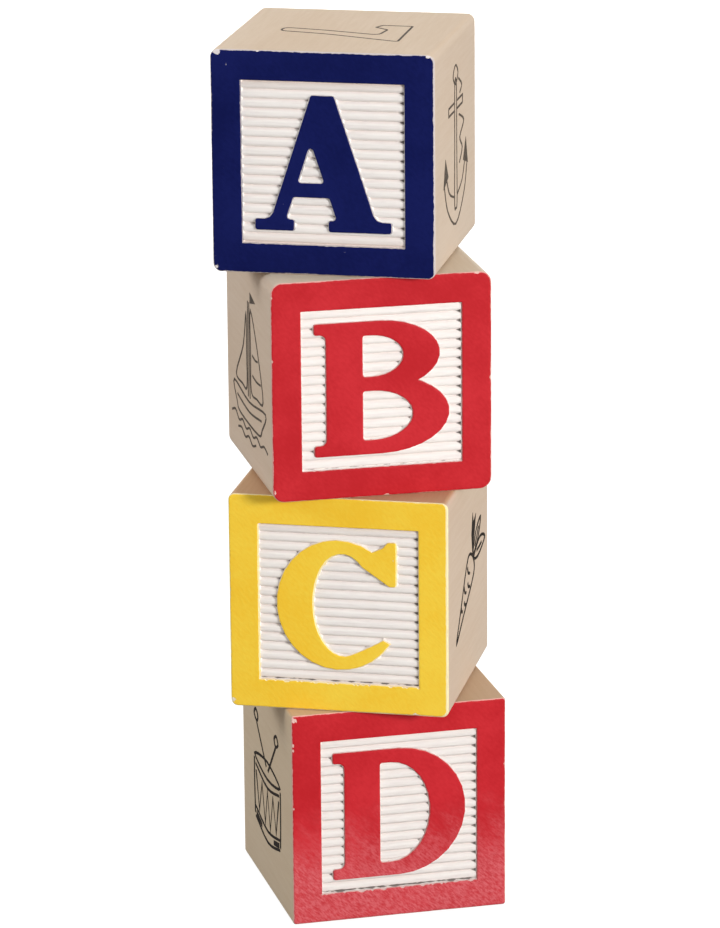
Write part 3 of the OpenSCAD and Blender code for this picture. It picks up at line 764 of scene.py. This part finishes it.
def rimBite(point, values, back, side):
    seed = (values["seed"] + rimWear["backSeed"] * back) * rimWear["seedStep"]
    rough = noise.noise(Vector((point.x, point.y, seed)) / rimWear["biteLength"])
    fine = noise.noise(Vector((point.x, point.y, seed + rimWear["fineSeed"])) * rimWear["fineScale"])
    bite = rimWear["bite"] * max(0, rough + rimWear["fineShare"] * fine)
    chipped = 0
    for across, up, length in [] if back else values["chips"]:
        away = (point - side * Vector((across, up))) / length
        if abs(abs(across) - abs(up)) > rimWear["cornerWithin"]:
            away[0 if abs(across) > abs(up) else 1] /= rimWear["chipWidth"]
        chipped = max(chipped, math.exp(-away.length_squared))
    return bite + rimWear["chipBite"] * chipped, chipped


# The wooden cube, with long edges rounded from front to back

woodShape = {
    "cornerSteps": 10,
    "sideSteps": 84,
    "rim": [(0.26, 0.03, 1), (0.32, 0.01, 0.6), (0.4, 0, 0.3), (0.9, 0, 0)],  # sunk, drawn in, share of wear
    "underCoat": 0.27,
    "underCoatInset": 0.3,
    "topDrop": 0.03,  # leaves the number's ink a hair proud
    "recessGap": 0.45,
    "recessDepth": 1.5,
    "recessRadius": 0.1,
}


def makeBody(block, values, pose, side, panelHalf, material):
    half, radius = side / 2, values["edgeRadius"]
    corners, steps = woodShape["cornerSteps"], woodShape["sideSteps"]
    under, underInset = woodShape["underCoat"], woodShape["underCoatInset"]
    bm = startMesh()

    def loop(sunk, inset, wear, back):
        points = []
        for point, out in roundSquare(half - inset, radius - inset, corners, steps):
            point = point - out * (rimBite(point, values, back, side)[0] * wear)
            point.y = min(point.y, half - woodShape["topDrop"])
            points.append(point)
        return ringOf(bm, points, side - sunk if back else sunk, half)

    def recess(sunk, back):
        places = roundSquare(panelHalf + woodShape["recessGap"], woodShape["recessRadius"], corners, steps)
        return ringOf(bm, [point for point, out in places], side - sunk if back else sunk, half)

    rings = [recess(woodShape["recessDepth"], False), recess(under, False), loop(under, underInset, 0, False)]
    rings += [loop(*row, False) for row in woodShape["rim"]]
    rings += [loop(*row, True) for row in reversed(woodShape["rim"])]
    rings += [loop(under, underInset, 0, True), recess(under, True), recess(woodShape["recessDepth"], True)]
    joinRings(bm, rings)
    bm.faces.new(rings[0])
    bm.faces.new(rings[-1])
    finishPiece(bm, block + "_wood", pose, block, material, block + "_body")


# The painted border: a thin coat that rolls over the rim and over the edge of the panel

borderShape = {
    # Rings from the outer edge inwards: sunk, drawn in from the outer edge, gap, share of the rim's wear
    "outer": [(0.25, 0.03, -0.35, 1), (0.15, 0.088, -0.2, 1), (0.07, 0.174, -0.1, 1), (0.02, 0.275, -0.03, 1),
              (0, 0.4, 0.05, 0.9), (0, 0.8, 0.45, 0.5), (0, 1.4, 1.0, 0)],
    # and from the panel outwards: sunk, gap to the panel's edge, gap for the wear, share of the tear
    "inner": [(0, 0.8, 0.75, 0), (0, 0.45, 0.45, 0.8), (0, 0.18, 0.14, 1), (0.05, 0.05, 0, 1),
              (0.2, 0, -0.2, 1)],
    "cornerSteps": 10,
    "sideSteps": 84,
    "panelRadius": 0.15,
    # The way that the panel's edges look where they get the painted highlight
    "innerHalo": (0.7, 0.7),
}


# Noise along the foot of a panel, in rows of: repeats in a mm, place across, share
footTearing = {"noise": [(0.7, 2, 1), (2.2, 8, 0.7)], "seedStep": 9, "steepness": 2.5}
# Painted shade and soiling in the last groove along the foot of the panel
footShadeAndGrimeLook = {
    "noise": [(0.6, 0, 1), (2, 5, 0.5)],
    "seedStep": 7,
    "steepness": 1.2,
    "cover": 0.75,
    "reach": 0.45,  # mm
}


def alongFoot(x, seed, look):
    value = 0
    for scale, across, share in look["noise"]:
        value += share * noise.noise(Vector((x * scale, across, seed * look["seedStep"])))
    return look["steepness"] * value


def footTear(point, out, values):  # torn back in short bites along the foot of the panel
    return values["footTear"] * max(0, -out.y) * within(alongFoot(point.x, values["seed"], footTearing))


# Painted shade and soiling along the foot of the panel
def footShadeAndGrime(x, z, panelHalf, values):  # patchy, in full for one reach up from the foot, none past two
    near = within(2 - (z + panelHalf) / footShadeAndGrimeLook["reach"])
    patchy = within(footShadeAndGrimeLook["cover"] + alongFoot(x, values["seed"], footShadeAndGrimeLook))
    return near * values["footShadeAndGrime"] * patchy


def makeBorder(block, face, values, pose, side, panelHalf, material):
    half, paint = side / 2, paints[values["paint"]]
    corners, steps = borderShape["cornerSteps"], borderShape["sideSteps"]
    bm = startMesh()
    rings = []
    for sunk, inset, gap, wear in borderShape["outer"]:
        places = roundSquare(half - inset, values["edgeRadius"] - inset, corners, steps)
        worn = [rimBite(point, values, face == "back", side) for point, out in places]
        points = [point - out * bite * wear for (point, out), (bite, chipped) in zip(places, worn)]
        gaps = paintedHighlightGaps(gap, [out for point, out in places], paint["halo"], paint["haloTowards"])
        rings.append(ringOf(bm, points, sunk, half, gaps, [chipped for bite, chipped in worn]))
    for sunk, inset, gap, wear in borderShape["inner"]:
        places = roundSquare(panelHalf + inset, borderShape["panelRadius"] + inset, corners, steps)
        gaps = paintedHighlightGaps(gap, [-out for point, out in places], paint["halo"], borderShape["innerHalo"])
        points = [point + out * footTear(point, out, values) * wear for point, out in places]
        rings.append(ringOf(bm, points, sunk, half, gaps))
    joinRings(bm, rings, closed=True)
    name = f"{block}_{face}_border"
    finishPiece(bm, name + "_coat", pose, block, material, name)


# The raised letter's coat, and under it the carved letter in the white ground

letterShape = {
    "coat": [(0.2, 0, -0.2), (0.06, -0.06, -0.02), (0, -0.2, 0.15), (0, -0.42, 0.4)],  # sunk, grown, gap
    # The way that the letter's edges look where they get the painted highlight
    "halo": (0.75, -0.65),
    "carved": [(0.21, 0), (1.3, 0.4)],  # sunk, grown
}


def joinStacks(bm, stacks):
    for stack in stacks:
        joinRings(bm, stack)
    capRings(bm, [stack[0] for stack in stacks])
    capRings(bm, [stack[-1] for stack in stacks])


def makeLetter(block, face, values, pose, half, outlines, material):
    bm = startMesh()
    stacks, halo = [], paints[values["paint"]]["halo"]
    for outline in outlines:
        ways, stack = outwards(outline), []
        for sunk, grown, gap in letterShape["coat"]:
            gaps = paintedHighlightGaps(gap, ways, halo, letterShape["halo"])
            stack.append(ringOf(bm, grownOutline(outline, grown), sunk, half, gaps))
        stacks.append(stack)
    joinStacks(bm, stacks)
    name = f"{block}_{face}_letter"
    finishPiece(bm, name + "_coat", pose, block, material, name)


# The ribbed panel in its white ground, with the drafted walls of the panel and of the letter

panelShape = {
    "ribs": 17,
    "samples": 10,
    "columnWidth": 0.55,
    "leeReach": 1.0,  # how far the painted shadow reaches from a wall
    "leeMargin": 1,
    "grooveDepth": 1.1,
    "ribHeight": 0.65,
    "crestShare": 0.4,  # of a rib's width that is nearly flat
    "crestRound": 0.06,
    "grooveCurve": 1.25,
    "backDepth": 1.3,
    "wallDraft": 0.4,
    "wallThickness": 0.4,
    "wallTops": (0.21, 0.23),  # sunk, at the panel's edge and outside it
    "wallRadius": 0.12,
    "wallSteps": (3, 40),  # in each corner, along each side
    "underWall": 0.2,
}


def ribRise(share):  # from 0 in the middle of a groove to 1 on the crest
    off = abs(2 * share - 1)
    slope = max(0, off - panelShape["crestShare"]) / (1 - panelShape["crestShare"])
    crest = panelShape["crestRound"]
    return 1 - crest * off ** 2 - (1 - crest) * slope ** panelShape["grooveCurve"]


# The painted shadow that the key lamp on the right casts leftwards from the walls
def leeOf(x, z, outlines, panelHalf):  # 1 at the foot of a wall that looks left, less away from it
    crossings = [panelHalf - panelShape["wallDraft"]]
    for outline in outlines:
        for a, b in zip(outline, outline[1:] + outline[:1]):
            if (a.y > z) != (b.y > z):
                crossings.append(a.x + (z - a.y) * (b.x - a.x) / (b.y - a.y))
    right = sorted(crossing for crossing in crossings if crossing > x)
    if len(right) % 2 == 0:  # under a letter or a wall
        left = max([crossing for crossing in crossings if crossing <= x], default=-panelHalf)
        besideIt = x - left < 2 * panelShape["columnWidth"]
        return 1 if besideIt and x > panelShape["leeMargin"] - panelHalf else 0
    return max(0, 1 - (right[0] - x) / panelShape["leeReach"])


def addRibs(bm, half, panelHalf, outlines, values):
    reach = panelHalf + panelShape["underWall"]
    pitch = 2 * panelHalf / panelShape["ribs"]
    total = panelShape["ribs"] * panelShape["samples"]
    profile = [(-reach, panelShape["grooveDepth"])]
    for i in range(total + 1):
        rise = ribRise(i / panelShape["samples"] % 1) * panelShape["ribHeight"]
        profile.append((-panelHalf + pitch * i / panelShape["samples"], panelShape["grooveDepth"] - rise))
    profile.append((reach, panelShape["grooveDepth"]))
    profile += [(reach, panelShape["backDepth"]), (-reach, panelShape["backDepth"])]
    columns = math.ceil(2 * reach / panelShape["columnWidth"])
    leeLayer = bm.verts.layers.float["lee"]
    sections = []
    for i in range(columns + 1):
        x = -reach + 2 * reach * i / columns
        section = [bm.verts.new((x * mm, (sunk - half) * mm, z * mm)) for z, sunk in profile]
        for made, (z, sunk) in zip(section, profile):
            made[leeLayer] = max(leeOf(x, z, outlines, panelHalf), footShadeAndGrime(x, z, panelHalf, values))
        sections.append(section)
    joinRings(bm, sections)
    bm.faces.new(sections[0])
    bm.faces.new(sections[-1])


def addWalls(bm, half, panelHalf, values):
    deep, (innerTop, outerTop) = panelShape["backDepth"], panelShape["wallTops"]
    drafted, outer = panelHalf - panelShape["wallDraft"], panelHalf + panelShape["wallThickness"]
    rings = []
    for size, sunk in ((panelHalf, innerTop), (drafted, deep), (outer, deep), (outer, outerTop)):
        places = roundSquare(size, panelShape["wallRadius"], *panelShape["wallSteps"])
        shadeAndGrime = [footShadeAndGrime(point.x, point.y, panelHalf, values) for point, out in places]
        points, facing = [point for point, out in places], [-out for point, out in places]
        rings.append(ringOf(bm, points, sunk, half, facing=facing, shadeAndGrime=shadeAndGrime))
    joinRings(bm, rings, closed=True)


def makePanel(block, face, values, pose, half, panelHalf, outlines, material):
    bm = startMesh()
    addRibs(bm, half, panelHalf, outlines, values)
    addWalls(bm, half, panelHalf, values)
    stacks = []
    for outline in outlines:
        ways = [way.normalized() for way in outwards(outline)]
        stacks.append([ringOf(bm, grownOutline(outline, grown), sunk, half, facing=ways)
                       for sunk, grown in letterShape["carved"]])
    joinStacks(bm, stacks)
    name = f"{block}_{face}_ground"
    finishPiece(bm, name + "_coat", pose, block, material, name)


def makeBlock(block, values):
    pose, side = readPose(block)
    side = side / mm
    outlines = readOutlines(block + "_front_letter", pose)
    border = readOutlines(block + "_front_border", pose)
    panelHalf = min(max(point.x for point in outline) for outline in border)
    wood = makeWood(block + "Wood", values["seed"], values["woodTint"], values["topShadeAndBounce"])
    paint = makePaint(block + "Paint", values, side * mm)
    ground = makeGround(block + "Ground", values, side * mm, panelHalf)
    makeBody(block, values, pose, side, panelHalf, wood)
    for face, spin in (("front", 0), ("back", math.pi)):
        facePose = pose @ Matrix.Rotation(spin, 4, "Z")
        makeBorder(block, face, values, facePose, side, panelHalf, paint)
        makeLetter(block, face, values, facePose, side / 2, outlines, paint)
        makePanel(block, face, values, facePose, side / 2, panelHalf, outlines, ground)
    for printed in ("_left_picture", "_right_picture", "_top_number"):
        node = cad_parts[block + printed]
        node.material_slots[0].material = inkMaterials[values["ink"]]
    print(block, "made")


for block, values in blocks.items():
    makeBlock(block, values)
